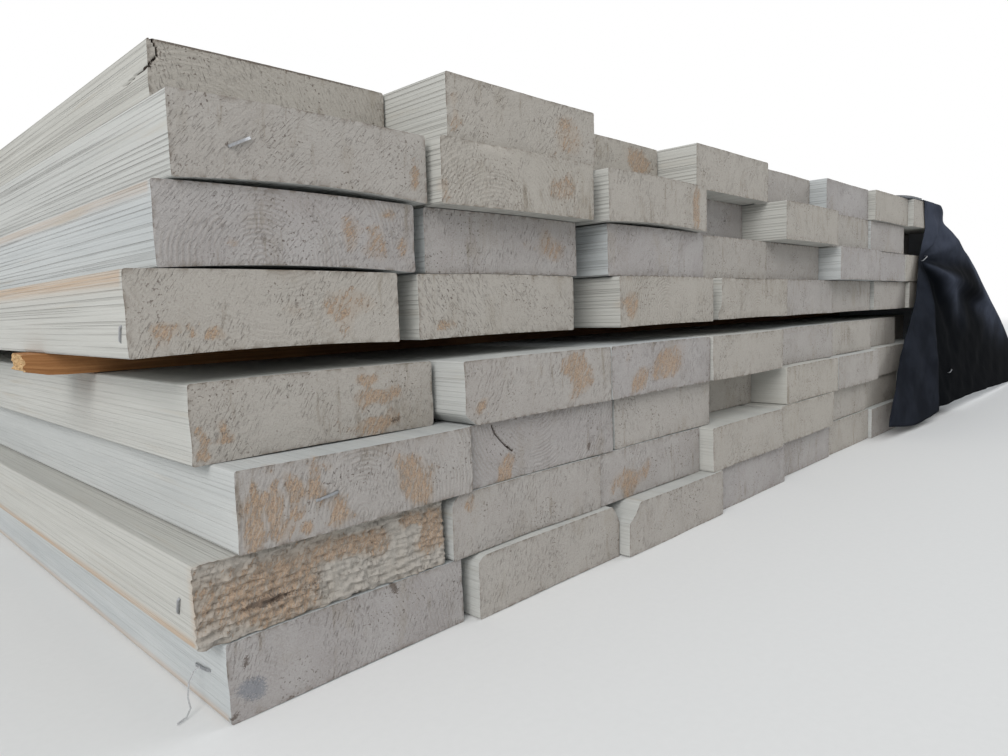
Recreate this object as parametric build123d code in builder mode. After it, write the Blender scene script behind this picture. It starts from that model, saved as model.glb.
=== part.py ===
from build123d import *
import os

os.makedirs("parts", exist_ok=True)

# Stack of primed softwood boards: two lots of four courses, eight boards to a course, with bare laths
# between the lots. The stack's wrap is opened and turned over its right side, where it hangs from a
# margin on the top course, and its near end is a loose flap that flares out to the right.
# Millimetres. Below, x runs across the stack from its left face, y along the boards from the line of
# their near ends, and z up from the floor. spot() turns these into the row's frame, which has its
# origin in the middle of the stack's underside.

# Board stock
BOARD_WIDTH = 140.0
BOARD_THICK = 38.0
BOARD_LENGTH = 3658.0
EASED_EDGE = 3.0
BOARDS_ACROSS = 8
SIDE_GAP = 1.5
COURSES_PER_LOT = 4
LOTS = 2

# Laths between the lots
LATH_THICK = 12.0
LATH_WIDTH = 40.0
LATH_COUNT = 4
LATH_INSET_NEAR = 136.0
LATH_INSET_FAR = 200.0
LATH_OVERHANG_LEFT = 35.0
LATH_OVERHANG_RIGHT = 22.0

# Wrap
WRAP_THICK = 1.6
WRAP_LIFT = 0.4
WRAP_CLEARANCE = 1.2
WRAP_MARGIN_NEAR = 190.0
WRAP_MARGIN_FAR = 120.0

# Its flap at the near end
WRAP_STANDOFF = 24.0
WRAP_WAVE = 10.0
WRAP_FOLD_RADIUS = 120.0
WRAP_REACH = 610.0
WRAP_OVERLAP = 265.0
WRAP_RUN_OUT = 15.0

# Stack sizes that follow from these
STACK_WIDTH = BOARDS_ACROSS * BOARD_WIDTH + (BOARDS_ACROSS - 1) * SIDE_GAP
LOT_HEIGHT = COURSES_PER_LOT * BOARD_THICK
STACK_HEIGHT = LOTS * LOT_HEIGHT + (LOTS - 1) * LATH_THICK

# Each course from its left side: the free gap before a board, how far its near end stands back, and
# its cup, where plus is crown up, minus is crown down and 0 is flat
COURSE_1 = [
    (4, -6, 0.6), (8, -12, 0.5), (1, -20, -0.4), (1, -14, 0),
    (1, -6, 0.4), (1, -4, -0.5), (1, -8, 0.4), (1, -5, 0.4),
]
COURSE_2 = [
    (-8, -5, 0.5), (5, -7, 0.7), (1, -6, 0.5), (2, -18, 0.6),
    (8, -13, -0.4), (2, -2, 0.5), (1, 1, 0.4), (1, -3, -0.4),
]
COURSE_3 = [
    (11, -10, -0.4), (3, -6, 0.5), (4, -5, 0.6), (3, 25, 0.4),
    (2, -12, 0.5), (6, -11, -0.5), (2, -2, 0.4), (1, -4, 0.5),
]
COURSE_4 = [
    (3, 13, 0.6), (4, -11, 0.5), (1, -11, 0.4), (2, -13, -0.5),
    (27, -1, 0.5), (3, 2, 0.4), (2, 13, 0.5), (1, 40, 0.4),
]
COURSE_5 = [
    (-21, 10, 0.5), (16, 12, 0.6), (38, -1, 0.5), (18, 0, -0.8),
    (1, 5, 0.5), (2, 8, 0.4), (2, 4, -0.4), (1, -1, 0.5),
]
COURSE_6 = [
    (-7, 11, 0.9), (11, 16, 0.5), (23, 5, 0.4), (1, 12, 0.6),
    (1, 13, -0.4), (2, -11, 0.5), (1, -1, 0.4), (2, -2, 0.5),
]
COURSE_7 = [
    (1, 8, 0.9), (5, 1, 0.5), (14, -2, 0.8), (1, 35, 0.5),
    (1, -11, 0.4), (1, 2, 0.5), (1, -1, 0.6), (1, 30, 0.4),
]
COURSE_8 = [
    (16, 64, 0.5), (2, 8, -0.5), (1, 45, 0.5), (3, 8, 0),
    (1, 22, 0.5), (1, 3, -0.4), (2, -5, 0.5), (2, -12, 0.4),
]

# Boards with wane, where the log's round outside took a corner: course, board, side, top or bottom,
# and how far the cut reaches across and up
WANES = [
    (1, 2, "right", "top", 8, 13), (1, 3, "left", "top", 14, 13),
    (2, 2, "left", "top", 7, 6), (4, 2, "left", "bottom", 9, 7),
]

# The flap's folds from left to right, as shares of the wave
WAVES = [0.2, 0.6, -0.5, -0.8, -0.8, 1.4, 0.4, 1.8, 0.9, -0.3]
# Its left edge, from floor to top: how far right of its lowest point, share of the height
FLAP_LEFT_EDGE = [(0, 0.0), (33, 0.24), (58, 0.34), (98, 0.49), (124, 0.64), (128, 0.76), (144, 0.9)]
# Its free upper edge, from the stack's corner to the floor: share of the reach, share of the height
FLAP_UPPER_EDGE = [(0.0, 1.0), (0.03, 0.95), (0.04, 0.91), (0.16, 0.85), (0.37, 0.72), (0.55, 0.57),
                   (0.76, 0.37), (0.92, 0.18), (1.0, 0.0)]


def spot(x, y, z):
    return (x - STACK_WIDTH / 2, y - BOARD_LENGTH / 2, z)


def level(number):
    return (number - 1) * BOARD_THICK + (number - 1) // COURSES_PER_LOT * LATH_THICK


def right_side(places):
    return sum(gap for gap, setback, cup in places) + len(places) * BOARD_WIDTH


def wane_corner(side, edge, across, up):
    """The corner that wane takes off a board's section, as a triangle."""
    corner_x = BOARD_WIDTH / 2 if side == "right" else -BOARD_WIDTH / 2
    cut_x = corner_x - across if side == "right" else corner_x + across
    corner_z = BOARD_THICK if edge == "top" else 0
    cut_z = corner_z - up if edge == "top" else corner_z + up
    return [(corner_x, corner_z), (cut_x, corner_z), (corner_x, cut_z)]


def course(number, places):
    """One course of boards, each swept from its cupped section."""
    with BuildPart() as built:
        left = 0.0
        for place, (gap, setback, cup) in enumerate(places, 1):
            left += gap
            middle = spot(left + BOARD_WIDTH / 2, setback, level(number))
            half = BOARD_WIDTH / 2
            rise = abs(cup)
            low_mid, low_side = (rise, 0.0) if cup > 0 else (0.0, rise)
            with BuildSketch(Plane(origin=middle, x_dir=(1, 0, 0), z_dir=(0, -1, 0))) as section:
                if cup == 0:
                    Rectangle(BOARD_WIDTH, BOARD_THICK, align=(Align.CENTER, Align.MIN))
                else:
                    with BuildLine():
                        ThreePointArc((-half, low_side), (0, low_mid), (half, low_side))
                        Line((half, low_side), (half, low_side + BOARD_THICK - rise))
                        ThreePointArc(
                            (half, low_side + BOARD_THICK - rise),
                            (0, low_mid + BOARD_THICK - rise),
                            (-half, low_side + BOARD_THICK - rise),
                        )
                        Line((-half, low_side + BOARD_THICK - rise), (-half, low_side))
                    make_face()
                for wane_course, wane_place, side, edge, across, up in WANES:
                    if (wane_course, wane_place) == (number, place):
                        with BuildLine():
                            Polyline(wane_corner(side, edge, across, up), close=True)
                        make_face(mode=Mode.SUBTRACT)
                fillet(section.vertices(), EASED_EDGE)
            extrude(amount=-BOARD_LENGTH)
            left += BOARD_WIDTH
    return built


course_1 = course(1, COURSE_1)
course_2 = course(2, COURSE_2)
course_3 = course(3, COURSE_3)
course_4 = course(4, COURSE_4)
course_5 = course(5, COURSE_5)
course_6 = course(6, COURSE_6)
course_7 = course(7, COURSE_7)
course_8 = course(8, COURSE_8)

# Laths, evenly spaced along the boards
LATH_LENGTH = LATH_OVERHANG_LEFT + STACK_WIDTH + LATH_OVERHANG_RIGHT
LATH_PITCH = (BOARD_LENGTH - LATH_INSET_NEAR - LATH_INSET_FAR - LATH_WIDTH) / (LATH_COUNT - 1)
lath_middle = spot(
    LATH_LENGTH / 2 - LATH_OVERHANG_LEFT,
    LATH_INSET_NEAR + LATH_WIDTH / 2 + LATH_PITCH * (LATH_COUNT - 1) / 2,
    LOT_HEIGHT,
)
with BuildPart() as spacers:
    with BuildSketch(Plane(origin=lath_middle)):
        with GridLocations(LATH_LENGTH, LATH_PITCH, 1, LATH_COUNT):
            Rectangle(LATH_LENGTH, LATH_WIDTH)
    extrude(amount=LATH_THICK)

# Wrap: a wavy upright flap cut to its outline, a margin on the top course, and a side that hangs from
# the margin clear of the widest course
flap_left = STACK_WIDTH - WRAP_OVERLAP
flap_right = STACK_WIDTH + WRAP_REACH
sheet_top = STACK_HEIGHT + WRAP_LIFT + WRAP_THICK
wave_start = flap_left - WRAP_RUN_OUT
wave_step = (flap_right + WRAP_RUN_OUT - wave_start) / (len(WAVES) - 1)
courses = [COURSE_1, COURSE_2, COURSE_3, COURSE_4, COURSE_5, COURSE_6, COURSE_7, COURSE_8]
right_sides = [right_side(places) for places in courses]
widest_course = right_sides.index(max(right_sides)) + 1
lath_end = STACK_WIDTH + LATH_OVERHANG_RIGHT
side_top = right_sides[-1] + WRAP_CLEARANCE
side_bend_z = level(widest_course) + BOARD_THICK + WRAP_CLEARANCE
side_out = max(max(right_sides), lath_end) + WRAP_CLEARANCE


def flap_side(shift):
    points = []
    for index, wave in enumerate(WAVES):
        y = shift - WRAP_STANDOFF - wave * WRAP_WAVE
        points.append(spot(wave_start + index * wave_step, y, 0))
    return points


def flap_place(x):
    """Where the middle of the flap's sheet stands, between its two nearest folds."""
    place = (x - wave_start) / wave_step
    before = int(place)
    wave = WAVES[before] + (WAVES[before + 1] - WAVES[before]) * (place - before)
    return -WRAP_STANDOFF - wave * WRAP_WAVE


with BuildPart() as wrap:
    with BuildSketch():
        with BuildLine():
            near_side = FilletPolyline(*flap_side(-WRAP_THICK / 2), radius=WRAP_FOLD_RADIUS)
            far_side = FilletPolyline(*flap_side(WRAP_THICK / 2), radius=WRAP_FOLD_RADIUS)
            Line(near_side @ 0, far_side @ 0)
            Line(near_side @ 1, far_side @ 1)
        make_face()
    extrude(amount=sheet_top)
    flap_depth = 2 * (WRAP_STANDOFF + WRAP_WAVE * max(WAVES))
    with BuildSketch(Plane(origin=spot(0, 0, 0), x_dir=(1, 0, 0), z_dir=(0, -1, 0))):
        with BuildLine():
            left_edge = [(flap_left + x, share * STACK_HEIGHT) for x, share in FLAP_LEFT_EDGE]
            upper_edge = [(STACK_WIDTH + x * WRAP_REACH, share * sheet_top) for x, share in FLAP_UPPER_EDGE]
            tongue_edge = (STACK_WIDTH - WRAP_MARGIN_NEAR, sheet_top)
            Polyline(left_edge + [tongue_edge] + upper_edge, close=True)
        make_face()
    extrude(amount=flap_depth, mode=Mode.INTERSECT)
    near_end = min(flap_place(side_top), flap_place(side_out + WRAP_THICK))
    with BuildSketch(Plane.XY.offset(STACK_HEIGHT + WRAP_LIFT)):
        with BuildLine():
            Polyline(
                spot(STACK_WIDTH - WRAP_MARGIN_NEAR, -WRAP_STANDOFF, 0)[:2],
                spot(side_top + WRAP_THICK, near_end, 0)[:2],
                spot(side_top + WRAP_THICK, BOARD_LENGTH, 0)[:2],
                spot(STACK_WIDTH - WRAP_MARGIN_FAR, BOARD_LENGTH, 0)[:2],
                close=True,
            )
        make_face()
    extrude(amount=WRAP_THICK)
    with BuildSketch(Plane(origin=spot(0, near_end, 0), x_dir=(1, 0, 0), z_dir=(0, -1, 0))):
        with BuildLine():
            Polyline(
                (side_top, sheet_top),
                (side_top + WRAP_THICK, sheet_top),
                (side_out + WRAP_THICK, side_bend_z),
                (side_out + WRAP_THICK, 0),
                (side_out, 0),
                (side_out, side_bend_z),
                close=True,
            )
        make_face()
    extrude(amount=near_end - BOARD_LENGTH)

course_1.part.label = "course_1"
course_2.part.label = "course_2"
course_3.part.label = "course_3"
course_4.part.label = "course_4"
course_5.part.label = "course_5"
course_6.part.label = "course_6"
course_7.part.label = "course_7"
course_8.part.label = "course_8"
spacers.part.label = "spacers"
wrap.part.label = "wrap"

export_step(course_1.part, "parts/course_1.step")
export_step(course_2.part, "parts/course_2.step")
export_step(course_3.part, "parts/course_3.step")
export_step(course_4.part, "parts/course_4.step")
export_step(course_5.part, "parts/course_5.step")
export_step(course_6.part, "parts/course_6.step")
export_step(course_7.part, "parts/course_7.step")
export_step(course_8.part, "parts/course_8.step")
export_step(spacers.part, "parts/spacers.step")
export_step(wrap.part, "parts/wrap.step")
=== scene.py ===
# Stack of primed boards with laths between its two lots and a loose flap of lumber wrap.
# Sizes below are millimetres in the stack's own coordinates: x across from its left face, y along the
# boards from the line of their near ends, z up from the floor. to_row() turns them into the row frame.
# On a board or a lath u runs across, v up and w along from its near or left end.
from math import cos, radians, sin

import bpy
import numpy as np
from mathutils import Matrix, Vector


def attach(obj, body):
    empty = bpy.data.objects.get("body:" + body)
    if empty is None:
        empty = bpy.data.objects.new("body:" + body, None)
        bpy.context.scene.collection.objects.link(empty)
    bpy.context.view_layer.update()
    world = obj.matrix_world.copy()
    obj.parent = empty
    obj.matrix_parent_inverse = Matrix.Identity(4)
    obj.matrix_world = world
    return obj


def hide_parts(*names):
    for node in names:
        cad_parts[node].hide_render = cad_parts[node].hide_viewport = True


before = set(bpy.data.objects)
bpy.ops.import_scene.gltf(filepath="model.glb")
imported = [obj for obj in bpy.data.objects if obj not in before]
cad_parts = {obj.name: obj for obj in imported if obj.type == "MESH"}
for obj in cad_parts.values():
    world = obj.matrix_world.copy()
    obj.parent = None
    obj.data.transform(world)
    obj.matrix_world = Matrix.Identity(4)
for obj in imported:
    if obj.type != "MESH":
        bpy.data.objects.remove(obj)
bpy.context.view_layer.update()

METRES = 0.001
BOARD_WIDTH = 140.0
BOARD_THICK = 38.0
BOARD_LENGTH = 3658.0
EASED_EDGE = 1.4
STACK_WIDTH = 1130.5
COURSES_PER_LOT = 4
LATH_THICK = 12.0
LATH_WIDTH = 40.0
LATH_COUNT = 4
LATH_FIRST = 136.0
LATH_PITCH = 1094.0
LATH_LEFT = -35.0
LATH_RIGHT = 1152.5
LATH_SEED = 900
# A lath's torn left end: how far the tear reaches in, how much is gone, how much more at its far corner,
# and how far its underside is worn up
LATH_TORN = 18.0
LATH_SHORT = 4.0
LATH_SLANT = 3.5
LATH_WORN = 3.0
# Its right end and its torn fibres
LATH_CUT = 1.2
LATH_TUFT = 0.8
LATH_TUFT_SIZE = 4
LATH_SWAY = 0.4
LATH_WAVE = 0.15
LATH_GAP = 0.05
# The middle of its rings, and how far apart two laths lie in the grain
LATH_PITH = (20, -30)
LATH_GRAIN = 40

# Each course from its left side: the free gap before a board, how far its near end stands back, its cup
COURSES = [
    [(4, -6, 0.6), (8, -12, 0.5), (1, -20, -0.4), (1, -14, 0),
     (1, -6, 0.4), (1, -4, -0.5), (1, -8, 0.4), (1, -5, 0.4)],
    [(-8, -5, 0.5), (5, -7, 0.7), (1, -6, 0.5), (2, -18, 0.6),
     (8, -13, -0.4), (2, -2, 0.5), (1, 1, 0.4), (1, -3, -0.4)],
    [(11, -10, -0.4), (3, -6, 0.5), (4, -5, 0.6), (3, 25, 0.4),
     (2, -12, 0.5), (6, -11, -0.5), (2, -2, 0.4), (1, -4, 0.5)],
    [(3, 13, 0.6), (4, -11, 0.5), (1, -11, 0.4), (2, -13, -0.5),
     (27, -1, 0.5), (3, 2, 0.4), (2, 13, 0.5), (1, 40, 0.4)],
    [(-21, 10, 0.5), (16, 12, 0.6), (38, -1, 0.5), (18, 0, -0.8),
     (1, 5, 0.5), (2, 8, 0.4), (2, 4, -0.4), (1, -1, 0.5)],
    [(-7, 11, 0.9), (11, 16, 0.5), (23, 5, 0.4), (1, 12, 0.6),
     (1, 13, -0.4), (2, -11, 0.5), (1, -1, 0.4), (2, -2, 0.5)],
    [(1, 8, 0.9), (5, 1, 0.5), (14, -2, 0.8), (1, 35, 0.5),
     (1, -11, 0.4), (1, 2, 0.5), (1, -1, 0.6), (1, 30, 0.4)],
    [(16, 64, 0.5), (2, 8, -0.5), (1, 45, 0.5), (3, 8, 0),
     (1, 22, 0.5), (1, 3, -0.4), (2, -5, 0.5), (2, -12, 0.4)],
]

# Marks on near ends by board's course and place: centre across and up, half width and half height. Bare
# wood, the same but faint, dirt and ink
BARE = {
    (2, 1): [(30, 18, 30, 17), (75, 26, 22, 6), (130, 20, 10, 12), (118, 31, 8, 4)],
    (2, 2): [(14, 32, 3, 5)],
    (2, 3): [(33, 13, 15, 9)],
    (3, 1): [(9, 12, 5, 12), (8, 26, 2, 6), (18, 14, 5, 12), (18, 27, 2, 5), (28, 21, 5, 7),
             (39, 24, 5, 7), (40, 30, 2, 5), (51, 9, 5, 8), (97, 15, 10, 12), (33, 5, 3, 3)],
    (3, 2): [(28, 6, 7, 7)],
    (4, 1): [(97, 30, 7, 3), (100, 21, 12, 4), (100, 6, 15, 4), (5, 9, 3, 5), (15, 12, 3, 4)],
    (4, 2): [(103, 21, 13, 10), (13, 11, 4, 4)],
    (4, 3): [(33, 12, 8, 8), (80, 17, 18, 10)],
    (5, 1): [(14, 10, 6, 4), (27, 10, 2, 2), (37, 8, 4, 3)],
    (5, 2): [(20, 8, 6, 3)],
    (5, 3): [(13, 16, 7, 12)],
    (7, 1): [(132, 14, 3, 6)],
    (7, 3): [(123, 16, 5, 14)],
    (8, 3): [(111, 22, 18, 10)],
}
FAINT = {
    (5, 1): [(101, 19, 15, 9)],
    (6, 1): [(97, 16, 4, 12), (114, 15, 6, 10), (124, 31, 4, 4), (132, 14, 4, 5), (34, 11, 2, 2)],
    (6, 2): [(111, 20, 13, 9)],
    (7, 2): [(109, 17, 12, 8), (3, 8, 3, 5)],
    (8, 2): [(111, 14, 16, 12), (7, 14, 3, 8)],
}
DIRT = {
    (1, 1): [(2, 4, 2, 1.5), (9, 27, 1.5, 2), (92, 35, 2, 4)],
    (2, 1): [(34, 12, 16, 2)],
    (3, 2): [(112, 8, 2, 3)],
    (4, 1): [(114, 7, 3, 1.2)],
    (7, 1): [(25.5, 16, 1.0, 1.0)],
    (8, 1): [(70, 37.7, 66, 0.9)],
}
INK = {(1, 1): [(11, 13, 8, 6)]}
# How clear a faint mark is beside a plain one
FAINT_SHARE = 0.6
# A mark's outline: how far it strays from an oval, the size of its bays, and how it fades
RAGGED = 0.75
RAGGED_SIZE = 0.9
MARK_FALL = 0.7
MARK_FORM = 1.6
# How far marks and relief of an end reach along the board
END_DEPTH = 6.0
LEFT_FACE = 1

# Middle of the growth rings, across and up from the board's lower left corner, and how clearly the end
# shows them
PITHS = {(6, 1): (48, 1, 0.9), (7, 2): (42, -21, 0.8), (3, 1): (65, 5, 1.0), (5, 3): (64, 10, 0.9),
         (7, 1): (60, -12, 0.25), (3, 2): (58, 52, 0.9), (5, 1): (70, 70, 0.4), (5, 4): (72, 6, 1.0),
         (1, 1): (-20, -40, 0.5), (8, 1): (22, -30, 0.5), (4, 1): (40, -60, 0.2)}
# For other boards: ranges across, and up or down from the middle
PITH_ACROSS = (25, 115)
PITH_AWAY = (35, 80)
FAINT_RINGS = 0.12
GRAIN_SHIFT = 53.0
BRUSH_SHIFT = 3.7
BRUSH_ALONG = 0.02
# Slopes of brush strokes in degrees, three in four of them up to the right
STROKE_ANGLES = (48, 72)
STROKE_SIDES = [1, 1, 1, -1]
# Radians a millimetre, for growth rings about 2.4 mm apart and saw lines about 2.7 mm apart
RING_RATE = 2.6
SAW_RATE = 2.3
# How warm a near end is, from -1 for grey to 1 for cream
END_TONES = {(8, 1): 1.0, (7, 1): 0.1, (6, 1): -0.7, (5, 1): 0.5, (4, 1): 0.4, (3, 1): -0.3, (1, 1): -1.0,
             (8, 2): 0.6, (7, 2): 0.8, (8, 3): 1.0}
# Bare tan bands along the left sides: middle height, half height, strength
SIDE_BANDS = {(6, 1): (35.5, 3, 0.5), (5, 1): (35, 4, 0.8), (2, 1): (2.2, 2, 0.9), (1, 1): (2, 1.6, 0.7)}
BAND_START = 4
# How clearly the saw's grooves show on each course's long faces
SAWN = [0.3, 0.35, 0.3, 0.4, 0.75, 0.85, 1.0, 0.9]
# Wear at an end's arris
ARRIS_FADE = 1.2
ARRIS_FAR = 20

# Wane and damage at a board's corners: right side, top, reach across, reach up, form of the cut
CORNERS = {
    (2, 2): [(0, 1, 7, 6, 1.4)],
    (1, 2): [(1, 1, 8, 13, 1.2), (0, 1, 5, 4, 1.2)],
    (1, 3): [(0, 1, 14, 13, 0.8)],
    (4, 2): [(0, 0, 9, 7, 1.0)],
}
ROUND = 2.0

# Splits in near ends, as lines across and up, with half their width and their depth
SPLITS = {
    (8, 1): ([(2.4, 38), (4.7, 33.6), (4.8, 30.4), (0, 24.5)], 0.35, 2.2),
    (3, 2): ([(18.5, 35.3), (21, 30), (25.4, 25.6), (30, 21), (35.1, 17.3)], 0.4, 1.5),
}
# The split of the top left board runs on along its side: along and up, half its width, its depth
SIDE_SPLIT_BOARD = (8, 1)
SIDE_SPLIT = [(0, 24.5), (6, 24), (13, 24), (20, 22.6), (28, 22)]
SIDE_SPLIT_WIDE = 0.5
SIDE_SPLIT_DEEP = 1.2
# How many half widths from its line a split ends, and from what depth and how strongly it gets painted
# shade
SPLIT_END = 1.4
SPLIT_SHOWS = 0.3
SPLIT_SHADE = 1.5

# Relief of the ends
RELIEF_RATE = 1.25
RELIEF_WANDER = 1.6
RING_HEIGHT = 0.06
WAVE_HEIGHT = 0.25
SAW_HEIGHT = 0.05
FAR_HEIGHT = 0.25
# Hollows in near ends: depth, middle across and up, half width and height, how flat their floor is upward
HOLLOWS = {(7, 2): (2.5, 39, 38, 15, 2.5, 2), (5, 4): (4, 2, 4, 7, 7, 4)}
# The torn end, in layers with chips and fibres
TORN_END = (2, 1)
LAYER_THICK = 4.5
LAYER_WANDER = 1.5
LAYER_SCATTER = 12.9
LAYER_DEPTH = 1.0
CHIP_DEPTH = 0.7
FIBRE_DEPTH = 0.45

# Lens of shadow under a board: how far the middle of its underside lifts beyond the cup
LIFTED = {(7, 1): 2.2, (6, 1): 1.4, (7, 3): 1.6, (5, 4): 1.2, (5, 1): 1.0}
LIFT_REACH = 500
SIDE_SWAY = 0.25
SWAY_LONG = 40

# Boards whose near end has a finer grid, and the usual grid steps by place from the left
FINE = {(8, 1): 0.8, (2, 1): 0.9, (3, 1): 1.0, (3, 2): 1.0}
STEPS = {1: 1.6, 2: 2.2, 3: 3.0}
COARSE = 5.0
# How fast the grid widens along a finely and a plainly gridded board, and its widest step
FINE_GROWTH = 1.3
PLAIN_GROWTH = 1.6
WIDEST_STEP = 450.0
# Where grid lines lie over an eased edge, as shares of it
EDGE_SHARES = [0, 0.3, 0.62]
SHARP_ANGLE = 38
NOISE_WAVES = 14
WAVE_SPREAD = (0.8, 2.0)


def to_row(points):
    """Stack coordinates in millimetres to the row frame in metres."""
    moved = np.array(points, float)
    moved[..., 0] -= STACK_WIDTH / 2
    moved[..., 1] -= BOARD_LENGTH / 2
    return moved * METRES


def level(course):
    lath = LATH_THICK if course > COURSES_PER_LOT else 0
    return (course - 1) * BOARD_THICK + lath


def field(*values):
    """Values side by side, one vector a point."""
    return np.stack(values, -1)


def ripple(points, size, seed):
    """Smooth noise of about -1 to 1 with bumps of about this size."""
    points = np.atleast_2d(np.asarray(points, float))
    random = np.random.default_rng(seed)
    total = np.zeros(len(points))
    for _ in range(NOISE_WAVES):
        direction = random.normal(size=points.shape[1])
        direction /= np.linalg.norm(direction)
        wave = size * random.uniform(*WAVE_SPREAD)
        total += np.sin(points @ direction * (2 * np.pi / wave) + random.uniform(0, 2 * np.pi))
    return total / np.sqrt(NOISE_WAVES)


def ease(low, high, value):
    """Smooth share, from 0 at low to 1 at high."""
    share = np.clip((value - low) / (high - low), 0, 1)
    return share * share * (3 - 2 * share)


# Meshes

def quad_mesh(name, points, quads, materials, parts):
    """A mesh of quads in the row frame, shaded smooth except across real edges."""
    mesh = bpy.data.meshes.new(name)
    mesh.vertices.add(len(points))
    mesh.vertices.foreach_set("co", points.astype(np.float32).ravel())
    mesh.loops.add(quads.size)
    mesh.loops.foreach_set("vertex_index", quads.astype(np.int32).ravel())
    mesh.polygons.add(len(quads))
    mesh.polygons.foreach_set("loop_start", np.arange(0, quads.size, 4, dtype=np.int32))
    mesh.polygons.foreach_set("material_index", parts.astype(np.int32))
    for material in materials:
        mesh.materials.append(material)
    mesh.update(calc_edges=True)
    mesh.validate()
    mesh.shade_smooth()
    mesh.set_sharp_from_angle(angle=radians(SHARP_ANGLE))
    piece = bpy.data.objects.new(name, mesh)
    bpy.context.scene.collection.objects.link(piece)
    return piece


def point_values(piece, **fields):
    """Stores the fields that the materials read, one vector a point in each."""
    for name, values in fields.items():
        attribute = piece.data.attributes.new(name, "FLOAT_VECTOR", "POINT")
        attribute.data.foreach_set("vector", values.astype(np.float32).ravel())


def grid_lines(size, edge, step):
    """Places across a side: close over the eased edges, one step apart between them."""
    near = edge * np.array(EDGE_SHARES)
    count = max(2, int(round((size - 2 * edge) / step)))
    return np.concatenate([near, np.linspace(edge, size - edge, count + 1), size - near[::-1]])


def stations(length, step, growth):
    """Places along a board: close at its ends, wide apart in the middle."""
    near = [0.0]
    gap = step
    while near[-1] < length / 2 - gap:
        near.append(near[-1] + gap)
        gap = min(gap * growth, WIDEST_STEP)
    near = np.array(near)
    return np.concatenate([near, length - near[::-1]])


def bar_grid(width, height, length, edge, step, growth=PLAIN_GROWTH):
    """Points and quads of a closed bar: two fine end grids joined by rings."""
    across = grid_lines(width, edge, step)
    up = grid_lines(height, edge, step)
    along = stations(length, step, growth)
    columns, rows = len(across), len(up)
    grid_u, grid_v = (a.ravel() for a in np.meshgrid(across, up))
    index = np.arange(columns * rows).reshape(rows, columns)
    ring = np.concatenate([index[0, :-1], index[:-1, -1], index[-1, :0:-1], index[:0:-1, 0]])
    cells = np.stack([index[:-1, :-1], index[:-1, 1:], index[1:, 1:], index[1:, :-1]], axis=-1)
    cells = cells.reshape(-1, 4)
    layers = [ring]
    u, v, w = [grid_u], [grid_v], [np.zeros(len(grid_u))]
    start = len(grid_u)
    for place in along[1:-1]:
        u.append(grid_u[ring])
        v.append(grid_v[ring])
        w.append(np.full(len(ring), place))
        layers.append(np.arange(start, start + len(ring)))
        start += len(ring)
    u.append(grid_u)
    v.append(grid_v)
    w.append(np.full(len(grid_u), along[-1]))
    layers.append(ring + start)
    quads = [cells, (cells + start)[:, ::-1]]
    for near, far in zip(layers[:-1], layers[1:]):
        quads.append(np.stack([near, far, np.roll(far, -1), np.roll(near, -1)], axis=-1))
    parts = np.concatenate([np.zeros(2 * len(cells)), np.ones(sum(len(q) for q in quads[2:]))])
    return np.concatenate(u), np.concatenate(v), np.concatenate(w), np.concatenate(quads), parts


# Boards

def shape_corner(u, v, right, top, reach_u, reach_v, form):
    """Rounds (form 2), cuts (form 1) or hollows (below 1) one long corner of a board."""
    across = 1 - (BOARD_WIDTH - u if right else u) / reach_u
    up = 1 - (BOARD_THICK - v if top else v) / reach_v
    inside = (across > 0) & (up > 0)
    a = np.where(inside, across, 1)
    b = np.where(inside, up, 1)
    scale = np.maximum(a, b) / (a ** form + b ** form) ** (1 / form)
    new_u = reach_u * (1 - a * scale)
    new_v = reach_v * (1 - b * scale)
    u = np.where(inside, BOARD_WIDTH - new_u if right else new_u, u)
    v = np.where(inside, BOARD_THICK - new_v if top else new_v, v)
    return u, v


def shape_section(key, u, v, w, cup):
    """Eases, cuts and cups a board's section, and lifts the middle of its underside."""
    corners = {(right, top): (EASED_EDGE, EASED_EDGE, ROUND) for right in (0, 1) for top in (0, 1)}
    for right, top, reach_u, reach_v, form in CORNERS.get(key, []):
        corners[(right, top)] = (reach_u, reach_v, form)
    for (right, top), cut in corners.items():
        u, v = shape_corner(u, v, right, top, *cut)
    bend = ((u - BOARD_WIDTH / 2) / (BOARD_WIDTH / 2)) ** 2
    rise = abs(cup)
    crown = 1 - bend if cup > 0 else bend
    v = v * (BOARD_THICK - rise) / BOARD_THICK + rise * crown
    lift = LIFTED.get(key, 0) * (1 - ease(0, BOARD_THICK, v)) * (1 - bend) * np.exp(-w / LIFT_REACH)
    return u, v + lift


def pick_pith(key, random):
    """Middle of a board's rings and how clearly they show: from the table, or else at random."""
    across = random.uniform(*PITH_ACROSS)
    up = random.choice([-1, 1]) * random.uniform(*PITH_AWAY) + BOARD_THICK / 2
    return PITHS.get(key, (across, up, FAINT_RINGS))


def marks_on(marks, key, u, v):
    """How strongly marks of one kind lie on each point of a near end."""
    total = np.zeros(len(u))
    for mid_u, mid_v, half_u, half_v in marks.get(key, []):
        away = ((u - mid_u) / half_u) ** 2 + ((v - mid_v) / half_v) ** 2
        bays = ripple(field(u, v), RAGGED_SIZE * (half_u + half_v), int(mid_u))
        away = away * np.exp(RAGGED * bays)
        total = np.maximum(total, np.exp(-MARK_FALL * away ** MARK_FORM))
    return total


def board_marks(key, u, v, w, near):
    """How strongly bare wood, dirt and ink lie on each point of a board."""
    bare = np.maximum(marks_on(BARE, key, u, v), FAINT_SHARE * marks_on(FAINT, key, u, v)) * near
    if key in SIDE_BANDS:
        middle, half, strength = SIDE_BANDS[key]
        band = strength * np.exp(-((v - middle) / half) ** 2) * (u < LEFT_FACE)
        bare = np.maximum(bare, band * ease(0, BAND_START, w))
    return bare, marks_on(DIRT, key, u, v) * near, marks_on(INK, key, u, v) * near


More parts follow.
